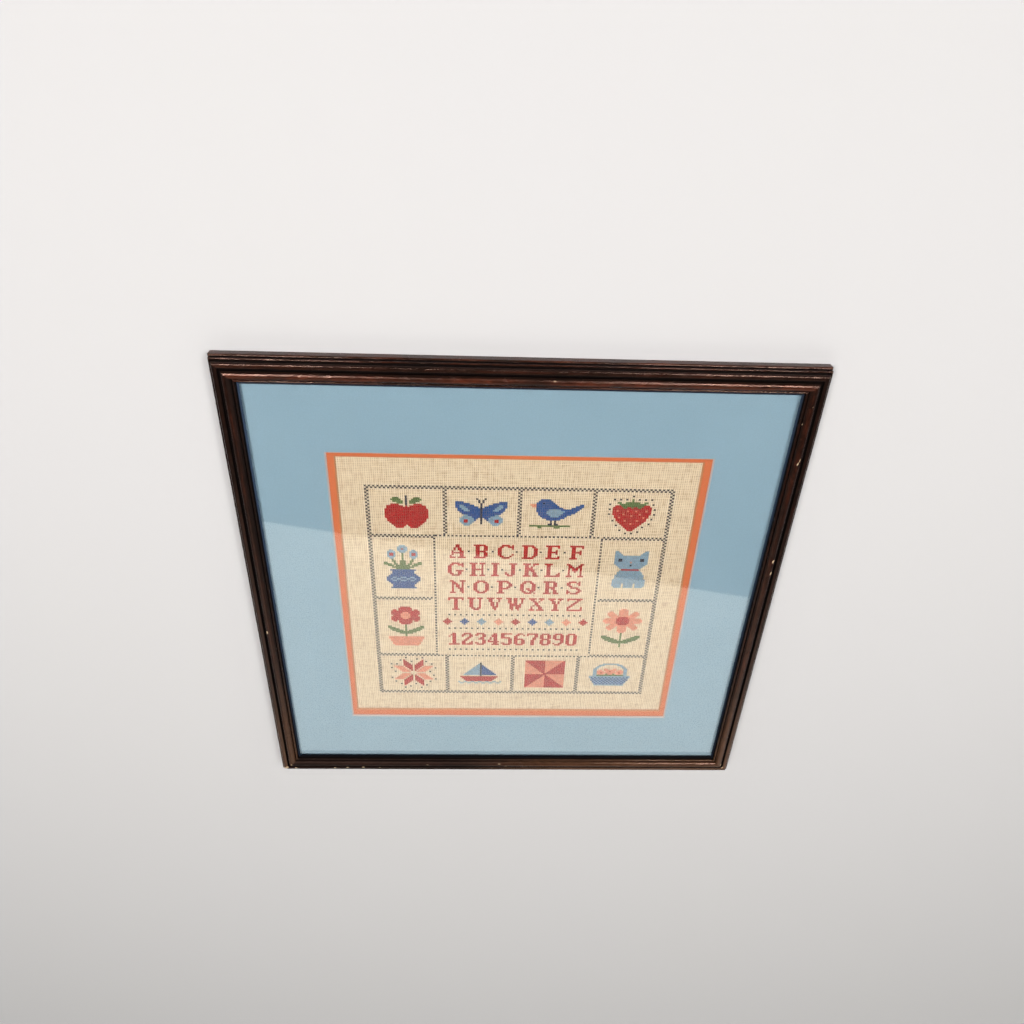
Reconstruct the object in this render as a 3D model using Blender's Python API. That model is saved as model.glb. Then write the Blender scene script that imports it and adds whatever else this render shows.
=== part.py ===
"""A framed cross stitch sampler, lying on its back.

The picture's width runs along X, its top is towards +Y and its face looks up, along +Z.
The origin is on the floor, under the middle of the frame. Lengths are in metres.
"""

import math

import bmesh
import bpy

MM = 0.001
GAP = 0.3 * MM

# Driving sizes: the window that shows, the borders round it and the moulding.
WINDOW = (337.0 * MM, 323.0 * MM)
ORANGE_BORDER = 6.6 * MM
BLUE_BORDER = 60.7 * MM
RAIL_WIDTH = 22.8 * MM
RABBET_WIDTH = 6.3 * MM
PANE_PLAY = 1.3 * MM

# Both windows were cut by hand: how far each one's middle is from the frame's, along X and Y,
# and how much wider the inner one is at its foot than at its head.
WINDOW_SHIFT = (0.5 * MM, -2.2 * MM)
INNER_SHIFT = (0.2 * MM, -0.4 * MM)
INNER_SPLAY = 3.4 * MM

# Thicknesses of the layers in the rabbet, and the floor's distance to the lowest of them.
BACK_RECESS = 1.5 * MM
BOARD_THICK = 3.2 * MM
CLOTH_THICK = 1.2 * MM
MAT_THICK = 1.4 * MM
GLASS_THICK = 2.0 * MM

# Heights worked out from the layers, from the back up.
BOARD_Z = BACK_RECESS
CLOTH_Z = BOARD_Z + BOARD_THICK + GAP
MAT_INNER_Z = CLOTH_Z + CLOTH_THICK + GAP
MAT_OUTER_Z = MAT_INNER_Z + MAT_THICK + GAP
GLASS_Z = MAT_OUTER_Z + MAT_THICK + GAP
LIP_Z = GLASS_Z + GLASS_THICK + GAP

# Sizes in plan, worked out from the driving ones.
SIGHT = tuple(side + 2 * BLUE_BORDER for side in WINDOW)
PANE = tuple(side + 2 * (RABBET_WIDTH - PANE_PLAY) for side in SIGHT)
INNER_WINDOW = tuple(side - 2 * ORANGE_BORDER for side in WINDOW)

# The moulding's face, in millimetres outward from the sight edge and up from the lip.
LIP_RISE = 0.8
LIP_COVE = (2.5, 2.3)
THIN_BEAD = {"middle": (3.4, 3.1), "radii": (0.9, 0.9)}
BROAD_BEAD = {"middle": (8.6, 3.4), "radii": (3.9, 3.2)}
GROOVE_DEPTH = 0.7
SHOULDER = {"inner": 14.4, "top": 4.8, "outer": 19.0, "corner": 0.6, "fall": 1.9}
SIDE_BEAD = {"middle": (20.6, -0.3), "radii": (0.9, 0.9)}
SIDE_BEAD_ARC = (120, -60)
SIDE_TOP = -4.0
SIDE_ROUND = 1.2

# Smoothness, the least angle that stays a sharp edge, and the distance that joins a curve's caps.
ARC_STEPS = 8
BROAD_STEPS = 14
SHARP_EDGE = math.radians(28)
WELD = 0.01 * MM

COLOURS = {
    "rail": ((0.030, 0.012, 0.007, 1.0), 0.38),
    "glass": ((0.90, 0.95, 0.94, 1.0), 0.05),
    "blue_mat": ((0.34, 0.50, 0.57, 1.0), 0.85),
    "orange_mat": ((0.72, 0.24, 0.13, 1.0), 0.85),
    "cloth": ((0.76, 0.65, 0.48, 1.0), 0.9),
    "board": ((0.42, 0.33, 0.22, 1.0), 0.9),
}


def clear_scene():
    for thing in list(bpy.data.objects):
        bpy.data.objects.remove(thing, do_unlink=True)


def new_collection(name):
    group = bpy.data.collections.new(name)
    bpy.context.scene.collection.children.link(group)
    return group


def new_material(name):
    colour, roughness = COLOURS[name]
    material = bpy.data.materials.new(name)
    material.use_nodes = True
    shader = material.node_tree.nodes["Principled BSDF"]
    shader.inputs["Base Color"].default_value = colour
    shader.inputs["Roughness"].default_value = roughness
    shader.inputs["Metallic"].default_value = 0.0
    material.diffuse_color = colour
    return material


def arc(middle, radii, start, end, steps):
    """Points along an ellipse's arc from one angle to another, in degrees."""
    points = []
    for step in range(steps + 1):
        angle = math.radians(start + (end - start) * step / steps)
        points.append((middle[0] + radii[0] * math.cos(angle), middle[1] + radii[1] * math.sin(angle)))
    return points


def moulding_outline():
    """The moulding's section, in metres: outward from the sight edge, and up from the floor."""
    face = [(0.0, 0.0), (0.0, LIP_RISE)]
    # A small cove climbs from the lip to the thin bead.
    cove_middle = (0.0, LIP_COVE[1])
    cove_radii = (LIP_COVE[0], LIP_COVE[1] - LIP_RISE)
    face += arc(cove_middle, cove_radii, -90, 0, ARC_STEPS)[1:]
    face += arc(THIN_BEAD["middle"], THIN_BEAD["radii"], 180, 0, ARC_STEPS)
    # The broad bead is the highest part, with a square groove outside it.
    face += arc(BROAD_BEAD["middle"], BROAD_BEAD["radii"], 180, 0, BROAD_STEPS)
    groove_floor = BROAD_BEAD["middle"][1] - GROOVE_DEPTH
    face.append((BROAD_BEAD["middle"][0] + BROAD_BEAD["radii"][0], groove_floor))
    face.append((SHOULDER["inner"], groove_floor))
    # The shoulder is a flat fillet, with a small round inside and a larger one outside.
    corner = SHOULDER["corner"]
    inner_middle = (SHOULDER["inner"] + corner, SHOULDER["top"] - corner)
    face += arc(inner_middle, (corner, corner), 180, 90, ARC_STEPS // 2)
    fall = SHOULDER["fall"]
    outer_middle = (SHOULDER["outer"] - fall, SHOULDER["top"] - fall)
    face += arc(outer_middle, (fall, fall), 90, 0, ARC_STEPS)
    # The outside steps down past a fine bead to the flat side.
    face.append((SHOULDER["outer"], SIDE_BEAD["middle"][1] + SIDE_BEAD["radii"][1]))
    face += arc(SIDE_BEAD["middle"], SIDE_BEAD["radii"], *SIDE_BEAD_ARC, ARC_STEPS)
    bead_foot = face[-1]
    outer = RAIL_WIDTH / MM
    face.append((bead_foot[0], SIDE_TOP))
    side_middle = (outer - SIDE_ROUND, SIDE_TOP - SIDE_ROUND)
    face += arc(side_middle, (SIDE_ROUND, SIDE_ROUND), 90, 0, ARC_STEPS)
    outline = [(out * MM, LIP_Z + up * MM) for out, up in face]
    outline += [(RAIL_WIDTH, 0.0), (RABBET_WIDTH, 0.0), (RABBET_WIDTH, LIP_Z)]
    return outline


def prism_from_outline(name, outline, length, group):
    """A straight bar with this outline in its local X and Y, along its local Z, as a mesh."""
    curve = bpy.data.curves.new(name + "_outline", "CURVE")
    curve.dimensions = "2D"
    curve.fill_mode = "BOTH"
    curve.extrude = length / 2
    spline = curve.splines.new("POLY")
    spline.points.add(len(outline) - 1)
    for point, (across, up) in zip(spline.points, outline):
        point.co = (across, up, 0.0, 1.0)
    spline.use_cyclic_u = True
    drawn = bpy.data.objects.new(name + "_outline", curve)
    group.objects.link(drawn)
    bpy.context.view_layer.update()
    evaluated = drawn.evaluated_get(bpy.context.evaluated_depsgraph_get())
    mesh = bpy.data.meshes.new_from_object(evaluated)
    bar = bpy.data.objects.new(name, mesh)
    bar.matrix_world = drawn.matrix_world.copy()
    group.objects.link(bar)
    bpy.data.objects.remove(drawn, do_unlink=True)
    shape = bmesh.new()
    shape.from_mesh(mesh)
    bmesh.ops.remove_doubles(shape, verts=shape.verts, dist=WELD)
    bmesh.ops.recalc_face_normals(shape, faces=shape.faces)
    shape.to_mesh(mesh)
    shape.free()
    mesh.name = name
    return bar


def box(name, low, high, group):
    """A box between two corners, from a unit cube."""
    mesh = bpy.data.meshes.new(name)
    shape = bmesh.new()
    bmesh.ops.create_cube(shape, size=1.0)
    for vert in shape.verts:
        for axis in range(3):
            middle = (low[axis] + high[axis]) / 2
            vert.co[axis] = middle + vert.co[axis] * (high[axis] - low[axis])
    shape.to_mesh(mesh)
    shape.free()
    made = bpy.data.objects.new(name, mesh)
    group.objects.link(made)
    return made


def cut_away(piece, cutter):
    """Takes the cutter's volume out of the piece with an exact Boolean."""
    modifier = piece.modifiers.new("cut_" + cutter.name, "BOOLEAN")
    modifier.operation = "DIFFERENCE"
    modifier.solver = "EXACT"
    modifier.object = cutter
    cutter.hide_render = True
    cutter.display_type = "WIRE"


def mitre_cutter(name, sight_length, end, helpers):
    """A big block whose near face is the 45 degree mitre at one end of a rail.

    In the rail's own frame X is outward from the sight edge, Y is up and Z is along the rail,
    and the sight edge's corner lies at half the sight length. end is 1 or -1 along Z.
    """
    reach = 4 * RAIL_WIDTH
    block = box(name, (-reach, -reach, 0.0), (reach, reach, reach), helpers)
    block.rotation_euler = (0.0, math.radians(-90 + 45 * end), 0.0)
    half_gap_along_rail = GAP / 2 * math.sqrt(2)
    block.location = (0.0, 0.0, end * (sight_length / 2 - half_gap_along_rail))
    return block


def rail(name, sight_length, turn, offset, material, parts, helpers):
    """One mitred rail: a bar of the moulding, cut at both ends, then stood round the picture.

    turn is the direction that faces outward, in degrees from +X, and offset is the sight
    edge's distance from the middle of the picture that way.
    """
    bar = prism_from_outline(name, moulding_outline(), sight_length + 4 * RAIL_WIDTH, parts)
    for side, end in (("left", -1), ("right", 1)):
        cut_away(bar, mitre_cutter(f"mitre_{name}_{side}", sight_length, end, helpers))
    # The outline's X goes outward and its Y goes up, so the bar is first stood on its back.
    holder = bpy.data.objects.new(name + "_place", None)
    parts.objects.link(holder)
    angle = math.radians(turn)
    holder.location = (offset * math.cos(angle), offset * math.sin(angle), 0.0)
    holder.rotation_euler = (math.pi / 2, 0.0, angle)
    bar.parent = holder
    for cutter in [modifier.object for modifier in bar.modifiers]:
        cutter.parent = holder
    bar.data.materials.append(material)
    bar.data.shade_smooth()
    bar.data.set_sharp_from_angle(angle=SHARP_EDGE)
    return bar


def sheet(name, size, bottom, thick, material, parts):
    """A flat rectangular sheet in the middle of the picture."""
    low = (-size[0] / 2, -size[1] / 2, bottom)
    high = (size[0] / 2, size[1] / 2, bottom + thick)
    made = box(name, low, high, parts)
    made.data.materials.append(material)
    return made


def bevelled_window(name, size, shift, splay, bottom, thick, helpers):
    """A cutter for a mat's window, whose sides lean out at 45 degrees towards the front.

    size is the window at the mat's upper face, shift its middle's distance from the frame's,
    and splay how much wider its foot is than its head. The cutter reaches past the mat's faces
    by the mat's own thickness, and at 45 degrees it widens as much as it rises.
    """
    mesh = bpy.data.meshes.new(name)
    shape = bmesh.new()
    bmesh.ops.create_cube(shape, size=1.0)
    for vert in shape.verts:
        rise = 2 * thick if vert.co.z > 0 else -thick
        right = 1 if vert.co.x > 0 else -1
        head = 1 if vert.co.y > 0 else -1
        vert.co.x = shift[0] + right * (size[0] / 2 - head * splay / 4 - thick + rise)
        vert.co.y = shift[1] + head * (size[1] / 2 - thick + rise)
        vert.co.z = bottom + rise
    bmesh.ops.triangulate(shape, faces=shape.faces)
    shape.to_mesh(mesh)
    shape.free()
    cutter = bpy.data.objects.new(name, mesh)
    helpers.objects.link(cutter)
    return cutter


def mat(name, window, shift, splay, bottom, material, parts, helpers):
    """A mat board of the pane's size, with its bevelled window."""
    board = sheet(name, PANE, bottom, MAT_THICK, material, parts)
    cutter = bevelled_window("window_" + name, window, shift, splay, bottom, MAT_THICK, helpers)
    cut_away(board, cutter)
    return board


def build():
    clear_scene()
    parts = new_collection("framed_cross_stitch_sampler")
    helpers = new_collection("cutters")
    wood = new_material("rail")
    sides = {
        "rail_right": (SIGHT[1], 0, SIGHT[0] / 2),
        "rail_top": (SIGHT[0], 90, SIGHT[1] / 2),
        "rail_left": (SIGHT[1], 180, SIGHT[0] / 2),
        "rail_bottom": (SIGHT[0], 270, SIGHT[1] / 2),
    }
    for name, (length, turn, offset) in sides.items():
        rail(name, length, turn, offset, wood, parts, helpers)
    sheet("backing_board", PANE, BOARD_Z, BOARD_THICK, new_material("board"), parts)
    sheet("cloth", PANE, CLOTH_Z, CLOTH_THICK, new_material("cloth"), parts)
    orange = new_material("orange_mat")
    mat("mat_inner", INNER_WINDOW, INNER_SHIFT, INNER_SPLAY, MAT_INNER_Z, orange, parts, helpers)
    blue = new_material("blue_mat")
    mat("mat_outer", WINDOW, WINDOW_SHIFT, 0.0, MAT_OUTER_Z, blue, parts, helpers)
    sheet("glass", PANE, GLASS_Z, GLASS_THICK, new_material("glass"), parts)


build()
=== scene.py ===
# %% [markdown]
# # A framed cross stitch sampler
# The CAD part gives nine solids: four mitred rails, a pane of glass, two mats, the cloth and
# the backing board. This lesson dresses them. Everything is in metres, in the CAD's own frame:
# the picture lies on its back, its width along X, its top towards +Y and its face up.

import math
import random

import bmesh
import bpy
import numpy as np
from mathutils import Matrix, Vector, noise


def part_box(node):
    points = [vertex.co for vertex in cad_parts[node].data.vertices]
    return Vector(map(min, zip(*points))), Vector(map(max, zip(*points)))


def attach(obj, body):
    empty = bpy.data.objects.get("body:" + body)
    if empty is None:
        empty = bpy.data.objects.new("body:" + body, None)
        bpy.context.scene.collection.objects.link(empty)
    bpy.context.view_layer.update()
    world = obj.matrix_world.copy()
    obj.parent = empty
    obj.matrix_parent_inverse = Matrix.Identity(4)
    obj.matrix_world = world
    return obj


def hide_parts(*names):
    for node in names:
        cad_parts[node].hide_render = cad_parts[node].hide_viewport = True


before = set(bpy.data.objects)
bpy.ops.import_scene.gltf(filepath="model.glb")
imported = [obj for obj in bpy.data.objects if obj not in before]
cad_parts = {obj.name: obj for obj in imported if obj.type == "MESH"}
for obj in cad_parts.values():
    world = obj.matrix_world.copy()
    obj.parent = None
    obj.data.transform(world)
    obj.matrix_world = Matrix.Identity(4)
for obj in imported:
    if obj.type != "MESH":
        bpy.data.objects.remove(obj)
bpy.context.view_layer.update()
MM = 0.001
scene = bpy.context.scene
scene.view_settings.view_transform = "Standard"
# The weave is nearly as fine as a pixel, so the denoiser's guides stay sharp.
scene.cycles.denoising_prefilter = "FAST"

# %% [markdown]
# ## Camera
# The picture was seen from above its top edge with a short lens, so its sides run together
# towards the foot. The place and the turn come from fitting a camera to the corners of the
# frame and of the mat's window. The lens is given for a sensor 36 mm wide.

# %% Camera
CAMERA_PLACE = (-0.0323, 0.4939, 0.6114)
CAMERA_TURN = (-33.177, -1.300, 1.894)
CAMERA_LENS = 28.125

camera_data = bpy.data.cameras.new("view_from_above")
camera_data.sensor_width = 36.0
camera_data.lens = CAMERA_LENS
camera_data.clip_start = 0.01
camera_data.clip_end = 50.0
camera = bpy.data.objects.new("view_from_above", camera_data)
camera.location = CAMERA_PLACE
camera.rotation_euler = [math.radians(angle) for angle in CAMERA_TURN]
scene.collection.objects.link(camera)
scene.camera = camera
print("camera", CAMERA_PLACE, "lens", CAMERA_LENS)

# %% [markdown]
# ## Floor and light
# A studio floor is pale and plain. Two soft lamps high over the head and two nearer ones light
# it evenly, and two more put a glint near each end of the top rail. A leaning softbox beyond
# the foot is what the glass mirrors as a pale veil over its lower half. The sky is pale low
# down and dim higher up, so the glass above the veil is clear.

# %% Floor and light
FLOOR_SIDE = 8.0
FLOOR_COLOUR = (0.605, 0.607, 0.608, 1.0)
# The sky is pale at the horizon and dim above it. Each stop is the height of a direction, as
# the sine of its angle, and a grey.
SKY_STOPS = ((0.0, 0.70), (0.10, 0.52), (0.28, 0.20), (1.0, 0.19))
# Each lamp is its place, the point it faces, its size, its watts, its colour, its roll, and
# whether it lights the matt part of a finish, the glossy part or both. The glass would mirror
# the first four as white squares, and the two glints only light what is glossy.
WHITE = (1.0, 0.99, 0.99)
WARM = (1.0, 0.94, 0.91)
CREAM = (1.0, 0.95, 0.84)
LAMPS = {
    "lamp_left_above": ((-0.95, 0.8, 2.4), (0.0, 0.1, 0.0), (1.0, 1.0), 18.0, WHITE, 0, "matt"),
    "lamp_right_above": ((1.05, 0.8, 2.4), (0.0, 0.1, 0.0), (1.0, 1.0), 21.0, WHITE, 0, "matt"),
    "lamp_left_near": ((-0.67, 0.61, 1.4), (-0.2, 0.2, 0.0), (0.22, 0.22), 10.5, WARM, 0, "matt"),
    "lamp_right_near": ((0.79, 0.60, 1.35), (0.2, 0.2, 0.0), (0.2, 0.2), 7.5, WARM, 0, "matt"),
    "lamp_glint_left": ((-0.60, 0.61, 1.4), (-0.2, 0.2, 0.0), (0.32, 0.22), 24, WHITE, 0, "gloss"),
    "lamp_glint_right": ((0.60, 0.60, 1.35), (0.2, 0.2, 0.0), (0.5, 0.2), 24, WHITE, 0, "gloss"),
    "lamp_veil": ((0.0, -2.0, 1.95), (0.0, 0.0, 1.95), (4.2, 1.65), 27, CREAM, -13.6, "both"),
}


def area_lamp(name, place, aim, size, watts, colour, roll, lights):
    """A rectangular lamp at place that faces aim, rolled about its own axis."""
    data = bpy.data.lights.new(name, "AREA")
    data.shape = "RECTANGLE"
    data.size, data.size_y = size
    data.energy = watts
    data.color = colour
    lamp = bpy.data.objects.new(name, data)
    lamp.location = place
    facing = (Vector(aim) - Vector(place)).to_track_quat("-Z", "Y").to_matrix()
    lamp.rotation_euler = (facing @ Matrix.Rotation(math.radians(roll), 3, "Z")).to_euler()
    lamp.visible_glossy = lights != "matt"
    lamp.visible_diffuse = lights != "gloss"
    scene.collection.objects.link(lamp)


def plain_floor():
    mesh = bpy.data.meshes.new("studio_floor")
    half = FLOOR_SIDE / 2
    corners = [(-half, -half, 0), (half, -half, 0), (half, half, 0), (-half, half, 0)]
    mesh.from_pydata(corners, [], [(0, 1, 2, 3)])
    floor = bpy.data.objects.new("studio_floor", mesh)
    scene.collection.objects.link(floor)
    paint = bpy.data.materials.new("studio_floor")
    paint.use_nodes = True
    shader = paint.node_tree.nodes["Principled BSDF"]
    shader.inputs["Base Color"].default_value = FLOOR_COLOUR
    shader.inputs["Roughness"].default_value = 0.8
    shader.inputs["Specular IOR Level"].default_value = 0.2
    mesh.materials.append(paint)


def studio_sky():
    sky = bpy.data.worlds.new("soft_sky")
    sky.use_nodes = True
    tree = sky.node_tree
    direction = tree.nodes.new("ShaderNodeTexCoord")
    parts = tree.nodes.new("ShaderNodeSeparateXYZ")
    ramp = tree.nodes.new("ShaderNodeValToRGB")
    stops = ramp.color_ramp.elements
    while len(stops) < len(SKY_STOPS):
        stops.new(0.5)
    for stop, (height, grey) in zip(stops, SKY_STOPS):
        stop.position = height
        stop.color = (grey, grey, grey, 1.0)
    tree.links.new(direction.outputs["Generated"], parts.inputs[0])
    tree.links.new(parts.outputs["Z"], ramp.inputs[0])
    tree.links.new(ramp.outputs[0], tree.nodes["Background"].inputs["Color"])
    scene.world = sky


plain_floor()
studio_sky()
for name, lamp in LAMPS.items():
    area_lamp(name, *lamp)
print("lamps:", list(LAMPS))

# %% [markdown]
# ## Node helpers
# A procedural material is a small tree of nodes. These helpers add a node with its values,
# join two sockets, and turn a screen colour into the linear one that a shader wants, so each
# finish below reads as a short list of what it does.

# %% Node helpers


def linear(red, green, blue):
    """A screen colour from 0 to 255 as a linear colour with full alpha."""
    mixed = []
    for value in (red, green, blue):
        share = value / 255
        low = share / 12.92
        high = ((share + 0.055) / 1.055) ** 2.4
        mixed.append(low if share <= 0.04045 else high)
    return (*mixed, 1.0)


class Finish:
    """A material being built: its tree, its Principled shader and short ways to add nodes."""

    def __init__(self, name, roughness):
        self.material = bpy.data.materials.new(name)
        self.material.use_nodes = True
        self.tree = self.material.node_tree
        self.shader = self.tree.nodes["Principled BSDF"]
        self.shader.inputs["Roughness"].default_value = roughness
        self.place = self.add("ShaderNodeTexCoord").outputs["Object"]

    def add(self, kind, **values):
        node = self.tree.nodes.new(kind)
        for key, value in values.items():
            if hasattr(node, key):
                setattr(node, key, value)
            else:
                self.feed(node.inputs[key.replace("_", " ")], value)
        return node

    def feed(self, socket, value):
        """Links an output to the socket, or sets the socket to a plain value."""
        if isinstance(value, bpy.types.NodeSocket):
            self.tree.links.new(value, socket)
        elif socket.type == "RGBA" and isinstance(value, float):
            socket.default_value = (value, value, value, 1.0)
        else:
            socket.default_value = value

    def scaled(self, source, scale):
        """The vector source, stretched along its own axes."""
        node = self.add("ShaderNodeMapping")
        self.feed(node.inputs["Vector"], source)
        node.inputs["Scale"].default_value = scale
        return node.outputs["Vector"]

    def cloud(self, source, scale, detail=3.0, roughness=0.55, distortion=0.0):
        """Fractal noise on the vector source."""
        node = self.add("ShaderNodeTexNoise")
        self.feed(node.inputs["Vector"], source)
        node.inputs["Scale"].default_value = scale
        node.inputs["Detail"].default_value = detail
        node.inputs["Roughness"].default_value = roughness
        node.inputs["Distortion"].default_value = distortion
        return node.outputs["Fac"]

    def ramp(self, source, stops):
        """A colour ramp; stops are (place, colour or grey)."""
        node = self.add("ShaderNodeValToRGB")
        self.feed(node.inputs["Fac"], source)
        marks = node.color_ramp.elements
        while len(marks) < len(stops):
            marks.new(0.5)
        for mark, (at, colour) in zip(marks, stops):
            mark.position = at
            mark.color = colour if isinstance(colour, tuple) else (colour, colour, colour, 1.0)
        return node.outputs["Color"]

    def mix(self, share, first, second):
        node = self.add("ShaderNodeMix")
        node.data_type = "RGBA"
        self.feed(node.inputs[0], share)
        self.feed(node.inputs[6], first)
        self.feed(node.inputs[7], second)
        return node.outputs[2]

    def maths(self, operation, *values):
        node = self.add("ShaderNodeMath")
        node.operation = operation
        for socket, value in zip(node.inputs, values):
            self.feed(socket, value)
        return node.outputs[0]

    def spread(self, source, low, high, to_low=0.0, to_high=1.0):
        """source from low..high to to_low..to_high, held at the ends."""
        node = self.add("ShaderNodeMapRange")
        for label, value in (
            ("Value", source), ("From Min", low), ("From Max", high),
            ("To Min", to_low), ("To Max", to_high),
        ):
            self.feed(node.inputs[label], value)
        return node.outputs["Result"]

    def attribute(self, name):
        return self.add("ShaderNodeAttribute", attribute_name=name).outputs["Fac"]

    def bump(self, height, distance, strength=1.0):
        node = self.add("ShaderNodeBump")
        self.feed(node.inputs["Height"], height)
        node.inputs["Distance"].default_value = distance
        node.inputs["Strength"].default_value = strength
        self.feed(self.shader.inputs["Normal"], node.outputs["Normal"])

    def colour(self, value):
        self.feed(self.shader.inputs["Base Color"], value)

    def rough(self, value):
        self.feed(self.shader.inputs["Roughness"], value)


print("helpers ready")

# %% [markdown]
# ## The moulding's finish
# The rails are a fine-grained wood under a nearly black stain and a thin lacquer. Grain
# follows each rail, so it reads the rail's own UV map: along the rail, then round its section.
# Handling has rubbed the ridges to a red brown; how strongly differs from rail to rail, and that
# difference is painted light, lighter on the top rail. The hollows are drawn near-black as dirt and
# painted shade, and a few knocks show bare wood. The mesh carries these as attributes for the ridges,
# the hollows and the bare wood. A fourth one marks the edge by the glass, which gets a painted,
# shaded reflection of the blue board, and a fifth one, aged, says where the stain has gone dull and
# olive, towards the foot.

# %% Stained wood
STAIN_DARK = linear(7, 3, 2)
STAIN_MID = linear(19, 10, 7)
STAIN_LIGHT = linear(42, 20, 13)
# Rubbed stain on the ridges, whose strength rail by rail is painted light.
STAIN_RUBBED_AND_LIT = linear(98, 42, 22)
STAIN_AGED = linear(86, 57, 35)
# Near-black for dirt and painted shade in the hollows.
GRIME_AND_SHADE = linear(4, 4, 5)
# A painted reflection of the blue board, in shade, for the lip by the glass.
PAINTED_COLD_REFLECTION = linear(44, 61, 81)
WARM_GLOSS = (1.0, 0.60, 0.47, 1.0)
BARE_WOOD = (linear(158, 130, 100), linear(204, 182, 152))
# How fine each pattern is along a rail and round its section, as repeats per metre.
STREAKS = (16, 900, 1)
FIGURE = (70, 260, 1)
RUBBED_PATCHES = (22, 60, 1)
# Roughness where the lacquer is best and worst, and where it is worn off or dirty.
LACQUER = (0.14, 0.29)
WORN = 0.7
# Specular level of the lacquer and of worn or dirty wood.
SHINE, NO_SHINE = 0.32, 0.05


def stained_wood():
    wood = Finish("stained_wood", 0.3)
    uv = wood.add("ShaderNodeUVMap", uv_map="UVMap").outputs["UV"]
    streaks = wood.cloud(wood.scaled(uv, STREAKS), 1.0, detail=4, roughness=0.65)
    figure = wood.cloud(wood.scaled(uv, FIGURE), 1.0, detail=3, distortion=1.8)
    patches = wood.cloud(wood.scaled(uv, RUBBED_PATCHES), 1.0, detail=3)
    grain = wood.mix(0.45, streaks, figure)
    base = wood.ramp(grain, [(0.36, STAIN_DARK), (0.52, STAIN_MID), (0.70, STAIN_LIGHT)])
    patchy = wood.spread(patches, 0.38, 0.66, 0.15, 1.0)
    rubbed_and_lit = wood.maths("MULTIPLY", wood.attribute("ridge_wear_and_light"), patchy)
    rubbed_and_lit = wood.maths("MULTIPLY", rubbed_and_lit, wood.spread(grain, 0.40, 0.62, 0.1, 1.0))
    # Rubbed ridges are red brown; how much, rail by rail, is painted light.
    base = wood.mix(rubbed_and_lit, base, STAIN_RUBBED_AND_LIT)
    aged = wood.maths("MULTIPLY", wood.attribute("aged"), wood.spread(grain, 0.36, 0.60, 0.3, 1.0))
    base = wood.mix(aged, base, STAIN_AGED)
    # Hollows go near-black: dirt and painted shade.
    base = wood.mix(wood.attribute("hollow_dirt_and_shade"), base, GRIME_AND_SHADE)
    # The lip by the glass takes a painted, shaded reflection of the blue board.
    base = wood.mix(wood.attribute("lip"), base, PAINTED_COLD_REFLECTION)
    splintered = wood.maths("ADD", wood.attribute("bare"), wood.maths("MULTIPLY", streaks, 0.3))
    bare = wood.spread(splintered, 0.55, 0.85)
    raw = wood.ramp(streaks, [(0.35, BARE_WOOD[0]), (0.65, BARE_WOOD[1])])
    wood.colour(wood.mix(bare, base, raw))
    gloss = wood.spread(wood.cloud(wood.place, 90, detail=4), 0.3, 0.7, *LACQUER)
    dull = wood.maths("MAXIMUM", bare, wood.attribute("hollow_dirt_and_shade"))
    wood.rough(wood.mix(dull, gloss, WORN))
    shine = wood.shader.inputs["Specular IOR Level"]
    shine.default_value = 0.3
    wood.feed(shine, wood.spread(dull, 0.0, 1.0, SHINE, NO_SHINE))
    wood.shader.inputs["Specular Tint"].default_value = WARM_GLOSS
    wood.bump(wood.maths("ADD", wood.maths("MULTIPLY", streaks, 0.7), figure), 0.3 * MM, 0.8)
    return wood.material


stained = stained_wood()
print("finish:", stained.name)

# %% [markdown]
# ## The moulding's section
# One outline makes all four rails. It is the CAD's outline with finer arcs: a lip over the
# glass, a thin bead, the broad bead that is the highest part, a groove, a flat shoulder, and
# steps down the outside. Points go outward from the sight edge and up from the lip's underside.

# %% Section of the moulding
LIP_Z = 12.2
SIGHT = (458.4 * MM, 444.4 * MM)
# Where the beads and the shoulder stand, in millimetres from the sight edge.
THIN_BEAD, BROAD_BEAD, SHOULDER, SIDE_BEAD = 3.4, 8.4, 16.6, 20.9


def arc(middle, radii, start, end, steps):
    turned = [math.radians(start + (end - start) * step / steps) for step in range(steps + 1)]
    return [(middle[0] + radii[0] * math.cos(a), middle[1] + radii[1] * math.sin(a)) for a in turned]


def straight(start, end, steps):
    """Points after start, up to and with end."""
    return [
        (start[0] + (end[0] - start[0]) * k / steps, start[1] + (end[1] - start[1]) * k / steps)
        for k in range(1, steps + 1)
    ]


def moulding_section():
    """The closed outline in metres, as points (out, up)."""
    face = [(0.0, 0.2)]
    face += arc((0.15, 0.65), (0.15, 0.15), 180, 90, 3)
    face += arc((0.0, 2.3), (2.5, 1.5), -84, 0, 8)
    face += arc((3.4, 3.1), (0.9, 0.9), 170, 10, 10)
    face += arc((8.6, 3.4), (3.9, 3.2), 174, 0, 20)
    face += [(12.5, 2.75), (12.65, 2.7), (14.25, 2.7), (14.4, 2.8)]
    face += arc((15.0, 4.2), (0.6, 0.6), 180, 90, 5)
    face += straight((15.0, 4.8), (17.0, 4.8), 3)
    face += arc((17.1, 2.9), (1.9, 1.9), 88, 0, 8)
    face += [(19.0, 1.6), (19.05, 0.7)]
    face += arc((20.6, -0.3), (0.9, 0.9), 130, -60, 9)
    face += [(21.05, -1.4), (21.05, -3.85), (21.2, -4.0)]
    face += arc((21.6, -5.2), (1.2, 1.2), 90, 0, 6)
    face += straight((22.8, -5.2), (22.8, -12.0), 4)
    face += [(22.6, -12.2), (14.0, -12.2), (6.5, -12.2), (6.3, -12.0), (6.3, -6.0), (6.3, -0.15)]
    face += [(6.15, 0.0), (3.0, 0.0)]
    return np.array([(out * MM, (LIP_Z + up) * MM) for out, up in face])


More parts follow.
